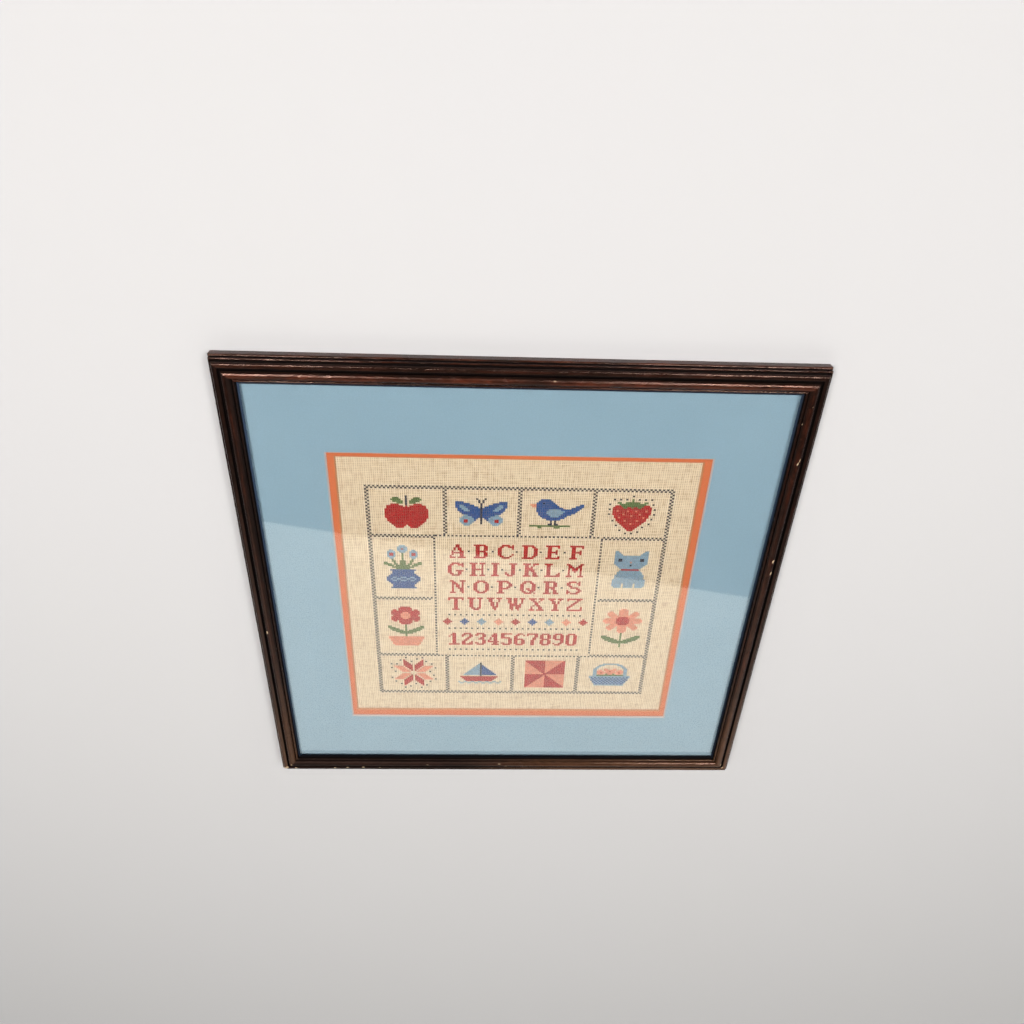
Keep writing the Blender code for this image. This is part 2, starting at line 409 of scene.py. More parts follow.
def bend_of(section):
    """How sharply the outline turns out (+) or in (-) at each point, per millimetre, smoothed."""
    before = section - np.roll(section, 1, 0)
    after = np.roll(section, -1, 0) - section
    turn = before[:, 1] * after[:, 0] - before[:, 0] * after[:, 1]
    turn = turn / (np.linalg.norm(before, axis=1) * np.linalg.norm(after, axis=1) + 1e-12)
    turn = np.arcsin(np.clip(turn, -1, 1))
    return (np.roll(turn, 1) + 2 * turn + np.roll(turn, -1)) / 4


def wear_dirt_and_painted_light(section):
    """Three shares for each point: rubbed ridge, dirt and painted shade in a hollow, and a painted reflection
    of the blue board on the lip by the glass.
    """
    out, up = section[:, 0] / MM, section[:, 1] / MM - LIP_Z
    broad = np.exp(-(((out - BROAD_BEAD) / 2.6) ** 4)) * (up > 2)
    thin = np.exp(-(((out - THIN_BEAD) / 0.7) ** 2)) * (up > 2)
    shoulder = 0.3 * np.exp(-(((out - SHOULDER) / 1.6) ** 2)) * (up > 2)
    side_bead = 0.7 * np.exp(-(((out - SIDE_BEAD) / 0.6) ** 2)) * (np.abs(up + 0.3) < 1.2)
    outside = 0.9 * (out > 22.0)
    rubbed_and_lit = np.clip(broad + 0.6 * thin + shoulder + side_bead + outside, 0, 1)
    # The lip by the glass is drawn near-black as painted shade; sharp inward bends and the groove as dirt and
    # painted shade.
    lip = (out < 2.6) & (up > -0.1) & (up < 2.5)
    groove = (out > 12.2) & (out < 14.6) & (up > 0)
    sharp = np.clip(-2.2 * bend_of(section), 0, 1)
    # The edge by the glass gets a painted, shaded reflection of the blue board.
    edge = np.clip((1.9 - out) / 0.5, 0, 1) * (up > -0.1) * (up < 1.4)
    return {"ridge_wear_and_light": rubbed_and_lit, "hollow_dirt_and_shade": np.clip(sharp + 0.95 * lip + 0.7 * groove, 0, 1), "lip": edge}


SECTION = moulding_section()
WEAR_AND_PAINTED_LIGHT = wear_dirt_and_painted_light(SECTION)
print("section points:", len(SECTION), "width mm:", round(np.ptp(SECTION[:, 0]) / MM, 2))

# %% [markdown]
# ## The four rails
# A mitred rail is a sweep whose ends lean at 45 degrees: a point that lies further out also
# runs further along. So each rail is a sheet of quads, section by stations, closed by a cap at
# each mitre. Building it in numbers, and not with a modifier, lets every knock move real
# points: a knock has a place, a reach and a depth, and it also writes the bare attribute.
# Wear isn't the same all round: the stain is more worn towards the foot. The left half of the foot
# rail and the inside of the left rail are drawn darker, as painted shade.

# %% Rails
STATIONS = 170
MITRE_GAP = 0.09 * MM
WAVINESS = 0.05 * MM
# Above this height a rail's surface is a little wavy; out to this reach its left rail has painted shade.
FACE_HEIGHT = 7.3 * MM
SHADED_REACH = 8.0 * MM
# Stations stand closer together towards the mitres, as the sine of up to this angle does.
BUNCHED = math.radians(72)
# Each rail is its piece, its length at the sight edge, its turn, its distance from the middle,
# how much its ridges are rubbed, which is also painted light that makes the top rail the lightest,
# and how strong the painted, shaded reflection of the blue board on its lip is.
RAILS = {
    "rail_top": ("moulding_top", SIGHT[0], 90, SIGHT[1] / 2, 1.0, 0.3),
    "rail_bottom": ("moulding_foot", SIGHT[0], 270, SIGHT[1] / 2, 0.3, 0.15),
    "rail_left": ("moulding_left", SIGHT[1], 180, SIGHT[0] / 2, 0.22, 1.0),
    "rail_right": ("moulding_right", SIGHT[1], 0, SIGHT[0] / 2, 0.32, 0.6),
}
# Each knock is its middle (x, y, z), its reach and its depth, in millimetres.
KNOCKS = [
    (-250.8, -243.5, 8.0, 4.5, 0.7), (-246.4, -239.4, 16.8, 2.6, 0.5), (-244.2, -237.3, 17.0, 1.9, 0.4),
    (-238.8, -231.4, 18.6, 1.5, 0.3), (-241.0, -234.0, 17.4, 1.3, 0.3), (-235.0, -238.2, 17.0, 1.5, 0.25),
    (250.5, -243.5, 8.0, 4.5, 0.7), (241.0, -230.0, 17.6, 2.3, 0.4), (243.5, -236.0, 17.0, 1.8, 0.3),
    (-191.4, -238.4, 17.0, 1.7, 0.3), (-177.5, -237.6, 17.0, 1.4, 0.25), (-159.6, -237.4, 17.0, 1.9, 0.3),
    (-143.0, -237.0, 17.0, 1.5, 0.25), (-92.7, -227.3, 17.0, 1.5, 0.25), (-88.0, -230.8, 18.8, 1.5, 0.25),
    (-79.8, -238.2, 17.0, 1.4, 0.25), (-15.9, -238.3, 17.0, 2.1, 0.35), (-8.3, -229.0, 18.3, 1.7, 0.3),
    (-0.3, -232.6, 18.4, 2.2, 0.35), (64.0, -237.6, 17.0, 1.3, 0.2), (150.0, -237.8, 17.0, 1.5, 0.25),
    (23.4, 232.6, 18.3, 1.5, 0.35), (239.1, 55.6, 18.4, 1.4, 0.25), (240.2, 41.5, 18.1, 1.2, 0.25),
    (240.8, 32.4, 17.8, 1.7, 0.25), (239.0, 6.5, 18.4, 1.1, 0.2), (239.4, -25.0, 18.3, 1.1, 0.2),
    (-240.0, -38.3, 18.2, 1.4, 0.25), (-251.9, 60.0, 7.2, 2.0, 0.3), (252.0, 110.0, 7.0, 1.8, 0.3),
    (88.0, 243.4, 8.0, 1.5, 0.25), (238.1, 160.5, 18.3, 1.5, 0.2), (239.9, 163.6, 18.5, 1.3, 0.2),
    (242.0, 166.0, 18.4, 1.2, 0.15), (244.4, 168.7, 17.9, 1.3, 0.2), (238.6, 148.6, 18.4, 1.0, 0.15),
    (238.3, 214.0, 18.3, 1.1, 0.15), (242.2, 184.7, 18.2, 0.9, 0.15), (233.4, 197.1, 17.0, 1.3, 0.2),
]


def outline_normals(section):
    """Each point's outward direction in the section's own plane."""
    along = np.roll(section, -1, 0) - np.roll(section, 1, 0)
    across = np.stack([-along[:, 1], along[:, 0]], 1)
    return across / np.linalg.norm(across, axis=1)[:, None]


def knocked(points, normals):
    """Points moved in by the knocks, and how bare each point is."""
    bare = np.zeros(len(points))
    for x, y, z, reach, depth in KNOCKS:
        away = np.linalg.norm(points / MM - (x, y, z), axis=1)
        for index in np.flatnonzero(away < 1.6 * reach):
            ragged = 1 + 0.45 * noise.noise(Vector(points[index] * 700.0))
            share = max(0.0, 1 - away[index] / (reach * ragged))
            share = share * share * (3 - 2 * share)
            points[index] -= normals[index] * depth * MM * share
            bare[index] = max(bare[index], min(1.0, 2.2 * share))
    return bare


def rising(values, start, length):
    """0 up to start, 1 from start + length on, and a straight slope between them."""
    return np.clip((values - start) / length, 0, 1)


def wear_and_light_of_rail(name, points, bare, rubbed_and_lit, painted_reflection_share):
    """Each attribute of a rail, as a share for each of its points."""
    x, y = points[:, 0], points[:, 1]
    wear_and_light = {label: np.tile(shares, STATIONS) for label, shares in WEAR_AND_PAINTED_LIGHT.items()}
    # Each rail's own share of the rubbed colour is painted light: the top rail is drawn lighter than the
    # others.
    wear_and_light["ridge_wear_and_light"] *= rubbed_and_lit
    # The lip's painted reflection of the blue board is set rail by rail and fades towards the foot.
    wear_and_light["lip"] *= painted_reflection_share
    wear_and_light["lip"] *= 0.35 + 0.65 * rising(y, -0.22, 0.35)
    wear_and_light["bare"] = bare
    wear_and_light["aged"] = 0.75 * rising(-y, 0.10, 0.14)
    # The foot rail's left half is drawn darker as painted shade: less of the paler aged stain, more
    # near-black.
    if name == "moulding_foot":
        wear_and_light["aged"] *= 0.1 + 0.9 * rising(x, -0.06, 0.12)
        wear_and_light["hollow_dirt_and_shade"] = np.maximum(wear_and_light["hollow_dirt_and_shade"], 0.6 * rising(-x, -0.03, 0.08))
    # The inside of the left rail is drawn darker towards its head, as painted shade.
    if name == "moulding_left":
        inside = np.tile(SECTION[:, 0] < SHADED_REACH, STATIONS)
        wear_and_light["hollow_dirt_and_shade"] = np.maximum(wear_and_light["hollow_dirt_and_shade"], 0.6 * inside * rising(y, -0.12, 0.2))
    return wear_and_light


def rail_faces(count):
    """Quads from station to station round a section of count points, and a cap at each end."""
    faces = []
    for first in range(0, (STATIONS - 1) * count, count):
        for k in range(count):
            after = (k + 1) % count
            faces.append((first + k, first + after, first + count + after, first + count + k))
    faces.append(tuple(range(count))[::-1])
    faces.append(tuple(range((STATIONS - 1) * count, STATIONS * count)))
    return faces


def sweep_rail(name, length, turn, offset, rubbed_and_lit, painted_reflection_share):
    """One rail as a closed mesh, with its UV map and its attributes."""
    angle = math.radians(turn)
    outward = np.array([math.cos(angle), math.sin(angle), 0.0])
    along = np.array([-math.sin(angle), math.cos(angle), 0.0])
    shares = np.sin(np.linspace(-1, 1, STATIONS) * BUNCHED) / math.sin(BUNCHED)
    count = len(SECTION)
    out, up = SECTION[:, 0], SECTION[:, 1]
    reach = length / 2 + out - MITRE_GAP
    points = (
        (offset + out)[None, :, None] * outward
        + (shares[:, None] * reach)[:, :, None] * along
        + up[None, :, None] * np.array([0.0, 0.0, 1.0])
    ).reshape(-1, 3)
    flat = outline_normals(SECTION)
    ring = flat[:, :1] * outward + flat[:, 1:] * np.array([0.0, 0.0, 1.0])
    normals = np.tile(ring, (STATIONS, 1))
    for index in np.flatnonzero(np.tile(up > FACE_HEIGHT, STATIONS)):
        points[index] += normals[index] * WAVINESS * noise.noise(Vector(points[index] * 45.0))
    bare = knocked(points, normals)
    mesh = bpy.data.meshes.new(name)
    mesh.from_pydata(points.tolist(), [], rail_faces(count))
    for label, values in wear_and_light_of_rail(name, points, bare, rubbed_and_lit, painted_reflection_share).items():
        layer = mesh.attributes.new(label, "FLOAT", "POINT")
        layer.data.foreach_set("value", values.astype(np.float32))
    round_it = np.concatenate([[0], np.cumsum(np.linalg.norm(np.diff(SECTION, axis=0), axis=1))])
    uv = mesh.uv_layers.new(name="UVMap")
    for face in mesh.polygons:
        seam = face.index < (STATIONS - 1) * count and face.index % count == count - 1
        for loop in face.loop_indices:
            vertex = mesh.loops[loop].vertex_index
            station, k = divmod(vertex, count)
            across = round_it[-1] + 0.001 if seam and k == 0 else round_it[k]
            uv.data[loop].uv = (shares[station] * length / 2 + turn * 0.01, across)
    finish_normals(mesh)
    return mesh


def finish_normals(mesh, angle=35):
    """Turns faces outward and shades smoothly but for edges sharper than the angle."""
    shape = bmesh.new()
    shape.from_mesh(mesh)
    bmesh.ops.recalc_face_normals(shape, faces=shape.faces)
    shape.to_mesh(mesh)
    shape.free()
    mesh.shade_smooth()
    mesh.set_sharp_from_angle(angle=math.radians(angle))


def new_piece(name, mesh, slot, *nodes):
    """Puts a mesh in the scene as a piece that rides on the frame and stands for CAD nodes."""
    piece = bpy.data.objects.new(name, mesh)
    scene.collection.objects.link(piece)
    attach(piece, "root")
    if nodes:
        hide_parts(*nodes)
    return piece


for node, (name, *plan) in RAILS.items():
    rail = new_piece(name, sweep_rail(name, *plan), "rail_wood", node)
    rail.data.materials.append(stained)
    print(name, "faces:", len(rail.data.polygons))

# %% [markdown]
# ## The two mats
# A mat is a sheet of board with a coloured paper face and a paler core. Its window is cut at
# 45 degrees, so a thin line of the core shows all round. The two windows were cut by hand, a
# little off centre, and the inner one is slightly wider at its foot. Each board is a stack of
# rings of points, joined by quads, with one finish for the paper and one for the core.

# %% Papers and cores
BLUE_PAPER = (linear(132, 160, 177), linear(143, 170, 186))
ORANGE_PAPER = (linear(200, 102, 57), linear(212, 114, 65))
BLUE_CORE = (linear(176, 168, 168), linear(196, 188, 186))
ORANGE_CORE = (linear(186, 124, 82), linear(202, 140, 96))


def paper(name, shades, fibre=1.0):
    """A matt paper or board: slow cloudiness, fine fibres and a soft tooth."""
    board = Finish(name, 0.82)
    slow = board.cloud(board.place, 9, detail=2)
    fine = board.cloud(board.scaled(board.place, (900, 1500, 900)), 1.0, detail=4, roughness=0.7)
    tooth = board.cloud(board.place, 620, detail=1)
    blend = board.mix(0.35, board.mix(0.35, slow, tooth), fine)
    board.colour(board.ramp(blend, [(0.30, shades[0]), (0.70, shades[1])]))
    board.rough(board.spread(fine, 0.3, 0.7, 0.74, 0.90))
    board.bump(fine, 0.06 * MM * fibre, 0.5)
    board.shader.inputs["Specular IOR Level"].default_value = 0.25
    return board.material


print("board finishes ready")

# %% Mat boards
PANE = (468.4 * MM, 454.4 * MM)
PAPER_THICK = 0.12 * MM
SIDE_POINTS = 48
CUT_WAVER = 0.07 * MM
MATS = {
    "mat_outer": {
        "piece": "blue_mat_board", "slot": "blue_mat", "shades": BLUE_PAPER, "core": BLUE_CORE,
        "window": (337.0 * MM, 323.0 * MM), "shift": (0.5 * MM, -2.2 * MM), "splay": 0.0,
    },
    "mat_inner": {
        "piece": "orange_mat_board", "slot": "orange_mat", "shades": ORANGE_PAPER, "core": ORANGE_CORE,
        "window": (323.8 * MM, 309.8 * MM), "shift": (0.2 * MM, -0.4 * MM), "splay": 3.4 * MM,
    },
}


def ring_points(size, shift, splay, height, grow, waver):
    """Points round a window or an edge, each side in equal steps, moved out by grow."""
    corners = []
    for right, head in ((-1, -1), (1, -1), (1, 1), (-1, 1)):
        x = shift[0] + right * (size[0] / 2 - head * splay / 4 + grow)
        y = shift[1] + head * (size[1] / 2 + grow)
        corners.append(Vector((x, y, height)))
    points = []
    for k, corner in enumerate(corners):
        after = corners[(k + 1) % 4]
        sideways = Vector((after.y - corner.y, corner.x - after.x, 0)).normalized()
        for step in range(SIDE_POINTS):
            point = corner.lerp(after, step / SIDE_POINTS)
            fade = math.sin(math.pi * step / SIDE_POINTS)
            point += sideways * waver * fade * noise.noise(point * 40.0)
            points.append(point)
    return points


def mat_board(node, plan):
    """One mat as a closed mesh, of the CAD node's thickness."""
    low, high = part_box(node)
    thick = high.z - low.z
    window, shift, splay = plan["window"], plan["shift"], plan["splay"]
    rings = [
        ring_points(PANE, (0, 0), 0, low.z, 0, 0),
        ring_points(PANE, (0, 0), 0, high.z, 0, 0),
        ring_points(window, shift, splay, high.z, 0, CUT_WAVER),
        ring_points(window, shift, splay, high.z - PAPER_THICK, -PAPER_THICK, CUT_WAVER),
        ring_points(window, shift, splay, low.z, -thick, CUT_WAVER),
    ]
    count = len(rings[0])
    faces, slots = [], []
    # From ring to ring: the outer edge, the face, the paper's cut, the core's bevel, the back.
    for ring, finish in zip(range(5), (1, 0, 0, 1, 1)):
        for k in range(count):
            after = (k + 1) % count
            here, there = ring * count, ((ring + 1) % 5) * count
            faces.append((here + k, here + after, there + after, there + k))
            slots.append(finish)
    mesh = bpy.data.meshes.new(plan["piece"])
    mesh.from_pydata([tuple(p) for ring in rings for p in ring], [], faces)
    mesh.materials.append(paper(plan["slot"] + "_paper", plan["shades"]))
    mesh.materials.append(paper(plan["slot"] + "_core", plan["core"], 1.6))
    mesh.polygons.foreach_set("material_index", slots)
    finish_normals(mesh, 20)
    return new_piece(plan["piece"], mesh, plan["slot"], node)


for node, plan in MATS.items():
    board = mat_board(node, plan)
    print(board.name, "quads:", len(board.data.polygons))

# %% [markdown]
# ## The chart
# Counted work starts from a chart: one sign for each stitch. This one is a sampler of common
# motifs, letters and numbers. Most motifs are the same left and right, so only the left half
# is drawn, up to and with the middle column, and the code mirrors it. R is red, B blue,
# N navy, S sky, P salmon and G green. A dot is bare cloth.

# %% Motif charts
HALF_CHARTS = {
    "apple": """
..........N
....GGG...N
...GGGGG..N
....GGGGG.N
......GGG.N
...RRRR...N
.RRRRRRRR.R
.RRRRRRRRRR
RRRRRRRRRRR
RRRRRRRRRRR
RRRRRRRRRRR
RRRRRRRRRRR
RRRRRRRRRRR
RRRRRRRRRRR
.RRRRRRRRRR
.RRRRRRRRRR
..RRRRRRRRR
...RRRRRRRR
....RRRRRR.
.....RRRR..""",
    "butterfly": """
..........N..
...........N.
BBBB.......N.
BBBBBBB.....N
BBSSBBBBB...N
BBSSSBBBBBB.N
.BBSSSBBBBBBN
.BBBSSSBBBBBN
..BBBBBBBBBBN
...BBBBBBBBBN
....SSBBBBBBN
...SSSSSBBBBN
..SSSSSSSBB.N
..SSRRSSSB..N
..SSRRSSS...N
...SSSSS....N
....SSS......""",
    "strawberry": """
.........G
.........G
..GG..GGGG
...GGGGGGG
.RRRGGGGGG
RRRRRGGRRG
RRRRRRRRRR
RRPRRRRPRR
RRRRRRRRRR
RRRRRPRRRR
.RRRRRRRRP
.RRPRRRRRR
..RRRRRRRR
..RRRRPRRR
...RRRRRRR
....RRRRRP
.....RRRRR
......RRRR
.......RRR
........RR""",
    "basket": """
.......SSSSS
.....SSS....
....SS......
...SS.......
..SS....PP..
..SS.PP.PPPP
..SSPPPP.PPR
..SSPPRPPPPP
..SS.PPP.GPP
..SSGGGGGGGG
SSSSSSSSSSSS
SBSBSBSBSBSB
.SBSBSBSBSBS
.BSBSBSBSBSB
..BSBSBSBSBS
..SBSBSBSBSB
...SBSBSBSBS
...SSSSSSSSS""",
    "vase": """
........SS
.......SSS
.......SSR
...SS..SSS
..SSSS..SS
..SRRS...G
..SRRS...G
..SSSS...G
...SS....G
....G....G
....GG..GG
GG...G..GG
GGGG.GG.GG
..GGG.GGGG
....GGGGGG
......GGGG
...BBBBBBB
....BBBBBB
....BBBBBB
...BBBBBBB
..BBBBBBBB
.BBBSSBBSS
.BBSBBSSBB
.BBBSSBBSS
..BBBBBBBB
...BBBBBBB
....BBBBBB
....BBBBBB
...BBBBBBB""",
    "cat": """
SS.......
SSS......
SSSS.....
SSSSSSSSS
SSSSSSSSS
SSNNSSSSS
SSNNSSSSS
SSSSSSSSP
SSSSSSSSS
.SSSSSSSN
..SSSSSSS
...SSSSSS
....RRRRR
...SSSSSS
..SSSSSSS
..SSSSSSS
.SSSSSSSS
.SSSSSSSS
.SSSSSSSS
SSSSSSSSS
SSSSSSSSS
SSSSSSSSS
SSSSS.SSS
SSSSS.SSS
.SSSS.SSS""",
    "pot": """
.......RRR
......RRRR
...RR.RRRR
..RRRRRRRR
..RRRRRRPP
..RRRRRPPP
...RRRRPPP
..RRRRRPPP
..RRRRRRPP
..RRRRRRRR
...RR.RRRR
......RRRR
.......RRR
.........G
GG.......G
GGGG.....G
.GGGGG...G
..GGGGGG.G
....GGGGGG
......GGGG
.........G
.........G
PPPPPPPPPP
PPPPPPPPPP
.PPPPPPPPP
.PPPPPPPPP
..PPPPPPPP
..PPPPPPPP
...PPPPPPP""",
    "daisy": """
.........PP
........PPP
...PP...PPP
..PPPP..PPP
..PPPPP.PPP
...PPPPPPPP
....PPPPRRR
.PPPPPPRRRR
PPPPPPPRRRR
PPPPPPPRRRR
.PPPPPPRRRR
....PPPPRRR
...PPPPPPPP
..PPPPP.PPP
..PPPP..PPP
...PP...PPP
........PPP
.........PP
..........G
..........G
GGG.......G
GGGGG.....G
.GGGGGG...G
..GGGGGGG.G
....GGGGGGG
......GGGGG
..........G
..........G
..........G""",
}
FULL_CHARTS = {
    "bird": """
.....BBBBB................
....BBBBBBB...............
...BBBNBBBBB..............
PPPBBBBBBBBBB...........BB
.PPBBBBBBBBBBB........BBBB
...BBBBBBBBBBBBB....BBBBB.
...BBBBBBSSSSSSBBBBBBBBB..
...BBBBBSSSSSSSSSBBBBBB...
....BBBBSSSSSSSSBBBBBB....
....BBBBBSSSSSSBBBBB......
.....BBBBBSSSSBBBB........
......BBBBBBBBBBB.........
........BBBBBBB...........
..........N.N.............
..........N.N.............
.........NN.NN............
GGGGGGGGGGGGGGGGGGGG......
....GG......GGG...........""",
    "boat": """
............N...........
...........SN...........
..........SSNB..........
.........SSSNBB.........
........SSSSNBBB........
.......SSSSSNBBBB.......
......SSSSSSNBBBBB......
.....SSSSSSSNBBBBBB.....
....SSSSSSSSNBBBBBBB....
...SSSSSSSSSNBBBBBBBB...
............N...........
.RRRRRRRRRRRRRRRRRRRRR..
..RRRRRRRRRRRRRRRRRRR...
...RRRRRRRRRRRRRRRRR....
....RRRRRRRRRRRRRRR.....
S..SS..SS..SS..SS..SS..S
.SS..SS..SS..SS..SS..SS.""",
}


def rows_of(text):
    return text.strip("\n").split("\n")


def mirrored(rows):
    return [row + row[-2::-1] for row in rows]


def quilt_star(arm, first, second):
    """An eight-pointed star: each point leans between an axis and a diagonal."""
    rows = []
    for y in range(-2 * arm, 2 * arm + 1):
        row = ""
        for x in range(-2 * arm, 2 * arm + 1):
            across, up = abs(x), abs(y)
            if 1 <= across <= arm and across < up <= across + arm:
                row += first
            elif 1 <= up <= arm and up < across <= up + arm:
                row += second
            else:
                row += "."
        rows.append(row)
    return rows


def pinwheel(half, first, second):
    """A patchwork square: four quarters, each parted by a diagonal, turned one after another."""
    rows = []
    for y in range(2 * half):
        row = ""
        for x in range(2 * half):
            u, v = x % half, y % half
            if y < half:
                vane = u >= v if x < half else u + v >= half - 1
            else:
                vane = u + v < half if x < half else u <= v
            row += first if vane else second
        rows.append(row)
    return rows


MOTIFS = {name: mirrored(rows_of(text)) for name, text in HALF_CHARTS.items()}
MOTIFS.update({name: rows_of(text) for name, text in FULL_CHARTS.items()})
MOTIFS["star"] = quilt_star(5, "R", "P")
MOTIFS["pinwheel"] = pinwheel(11, "R", "P")
for name, rows in MOTIFS.items():
    print(name, len(rows[0]), "x", len(rows))

# %% [markdown]
# ## Letters and numbers
# A sampler shows the alphabet, so here is a plain slab-serif one, nine stitches high, with
# strokes two stitches wide. Each row of a letter is written one after another, parted by a
# slash, which keeps the whole alphabet short enough to read.

# %% Letter charts
LETTERS = {
    "A": "...##.../...##.../..#.##../..#.##../.#...##./.######./.#...##./#....##./###.####",
    "B": "######../.##..##./.##..##./.##..##./.#####../.##..##./.##..##./.##..##./######..",
    "C": "..####.#/.##..###/##.....#/##....../##....../##....../##.....#/.##...#./..####..",
    "D": "######../.##..##./.##...##/.##...##/.##...##/.##...##/.##...##/.##..##./######..",
    "E": "#######./.##...#./.##...../.##..#../.#####../.##..#../.##...../.##...#./#######.",
    "F": "#######./.##...#./.##...../.##..#../.#####../.##..#../.##...../.##...../####....",
    "G": "..####.#/.##..###/##.....#/##....../##....../##..####/##...##./.##..##./..####..",
    "H": "####.###/.##...#./.##...#./.##...#./.######./.##...#./.##...#./.##...#./####.###",
    "I": "####/.##./.##./.##./.##./.##./.##./.##./####",
    "J": "..####/...##./...##./...##./...##./...##./#..##./##.##./.###..",
    "K": "####.###/.##..#../.##.#.../.####.../.#####../.##.##../.##..##./.##..##./####.###",
    "L": "####..../.##...../.##...../.##...../.##...../.##...../.##....#/.##...##/########",
    "M": "##.....##/.##...##./.###.###./.#.###.#./.#.###.#./.#..#..#./.#.....#./.#.....#./###...###",
    "N": "##...###/.##...#./.###..#./.#.##.#./.#.##.#./.#..###./.#...##./.#...##./###...#.",
    "O": "..####../.##..##./##....##/##....##/##....##/##....##/##....##/.##..##./..####..",
    "P": "######../.##..##./.##...##/.##...##/.##..##./.#####../.##...../.##...../####....",
    "Q": "..####../.##..##./##....##/##....##/##....##/##.##.##/##..####/.##..##./..####.#",
    "R": "######../.##..##./.##..##./.##..##./.#####../.##.##../.##..##./.##..##./####.###",
    "S": ".####.#./##...##./##....#./.##...../..####../.....##./#.....##/##...##./#.####..",
    "T": "########/#..##..#/...##.../...##.../...##.../...##.../...##.../...##.../..####..",
    "U": "####.###/.##...#./.##...#./.##...#./.##...#./.##...#./.##...#./..##.##./...###..",
    "V": "####.###/.##...#./.##...#./..##.#../..##.#../..##.#../...###../...##.../....#...",
    "W": "###.##.###/.##.##..#./.##.##..#./.##.##..#./..####.#../..######../..##.###../..##.##.../...#..#...",
    "X": "####.###/.##...#./..##.#../...##.../...##.../..#.##../.#...##./.#...##./###.####",
    "Y": "####.###/.##...#./..##.#../..##.#../...##.../...##.../...##.../...##.../..####..",
    "Z": "########/#....##./....##../...##.../..##..../.##...../##.....#/#......#/########",
    "0": ".####./##..##/##..##/##..##/##..##/##..##/##..##/##..##/.####.",
    "1": "..##../.###../#.##../..##../..##../..##../..##../..##../######",
    "2": ".####./##..##/#...##/...##./..##../.##.../##...#/##..##/######",
    "3": ".####./##..##/....##/...##./..###./....##/....##/##..##/.####.",
    "4": "...##./..###./..###./.#.##./.#.##./#..##./######/...##./..####",
    "5": "######/##..../##..../#####./....##/....##/....##/##..##/.####.",
    "6": "..###./.##..#/##..../##..../#####./##..##/##..##/##..##/.####.",
    "7": "######/#...##/....##/...##./...##./..##../..##../..##../..##..",
    "8": ".####./##..##/##..##/##..##/.####./##..##/##..##/##..##/.####.",
    "9": ".####./##..##/##..##/##..##/.#####/....##/....##/#..##./.###..",
}
print("letters charted:", len(LETTERS))

# %% [markdown]
# ## Laying out the sampler
# The work is 148 stitches wide and 146 high. A zigzag of two rows edges it and parts the
# twelve blocks of the border, four along the head and the foot and two down each side. The
# field in the middle holds the alphabet, a band of small diamonds and the numbers.

# %% Layout
# All measures are in stitches. BAND is the height of the blocks along the head and the foot,
# and SIDE the width of those down the sides.
WORK = (148, 146)
BAND = 28
SIDE = 29
LINE = 2
FIELD_MARGIN = 4
DOT_STEP = 3
LETTER_STEP = 12
DIAMOND_STEP = 9
# Each upright between two blocks, and each block: its first column, its width and its motifs
# at the head and at the foot.
UPRIGHTS = (37, 73, 109)
BLOCKS = (
    (2, 35, "apple", "star"), (39, 34, "butterfly", "boat"),
    (75, 34, "bird", "pinwheel"), (111, 35, "strawberry", "basket"),
)
DOTTED = ("strawberry", "star")
chart = {}


def put(column, row, sign):
    """One stitch, counted from the left and from the head."""
    if sign != ".":
        chart[(column, row)] = sign


def put_rows(rows, column, row, sign=None):
    """A chart's rows in their own signs, or all of them in one sign."""
    for down, line in enumerate(rows):
        for across, mark in enumerate(line):
            put(column + across, row + down, "." if mark == "." else sign or mark)


def zigzag(column, row, across, down):
    """A line two stitches thick, in which every other stitch is worked."""
    for x in range(column, column + across):
        for y in range(row, row + down):
            if (x + y) % 2 == 0:
                put(x, y, "N")


def dotted(column, row, across, down, step=2):
    """Single navy stitches, one at every step."""
    for x in range(column, column + across, step):
        for y in range(row, row + down, step):
            put(x, y, "N")


def ring_of_dots(rows, column, row):
    """Navy dots round a motif, two stitches away from it."""
    worked = [(x, y) for y, line in enumerate(rows) for x, mark in enumerate(line) if mark != "."]
    near = {(x + i, y + j) for x, y in worked for i in (-1, 0, 1) for j in (-1, 0, 1)}
    ring = {(x + i, y + j) for x, y in near for i in (-1, 0, 1) for j in (-1, 0, 1)} - near
    middle = (len(rows[0]) / 2 - 0.5, len(rows) / 2 - 0.5)
    placed = []
    for x, y in sorted(ring, key=lambda cell: math.atan2(cell[1] - middle[1], cell[0] - middle[0])):
        inside = abs(x - middle[0]) < 5 and abs(y - middle[1]) < 5
        if not inside and all(max(abs(x - i), abs(y - j)) >= DOT_STEP for i, j in placed):
            placed.append((x, y))
            put(column + x, row + y, "N")


def centred(rows, left, top, width, height, dots=False):
    """A motif in the middle of its block, with or without a ring of dots."""
    column = left + (width - len(rows[0])) // 2
    row = top + (height - len(rows)) // 2
    put_rows(rows, column, row)
    if dots:
        ring_of_dots(rows, column, row)


def lay_borders():
    width, height = WORK
    zigzag(0, 0, width, LINE)
    zigzag(0, height - LINE, width, LINE)
    zigzag(0, 0, LINE, height)
    zigzag(width - LINE, 0, LINE, height)
    inner = LINE + BAND
    for row in (inner, height - inner - LINE):
        zigzag(0, row, SIDE + 2 * LINE, LINE)
        zigzag(width - SIDE - 2 * LINE, row, SIDE + 2 * LINE, LINE)
        dotted(SIDE + 2 * LINE, row + (row > inner), width - 2 * SIDE - 4 * LINE, 1)
    for column in (LINE + SIDE, width - SIDE - 2 * LINE):
        dotted(column + (column < width / 2), inner + LINE, 1, height - 2 * inner - 2 * LINE)
    for column in UPRIGHTS:
        zigzag(column, 0, LINE, inner)
        zigzag(column, height - inner, LINE, inner)
    middle = height // 2 - 1
    zigzag(0, middle, SIDE + LINE, LINE)
    zigzag(width - SIDE - LINE, middle, SIDE + LINE, LINE)


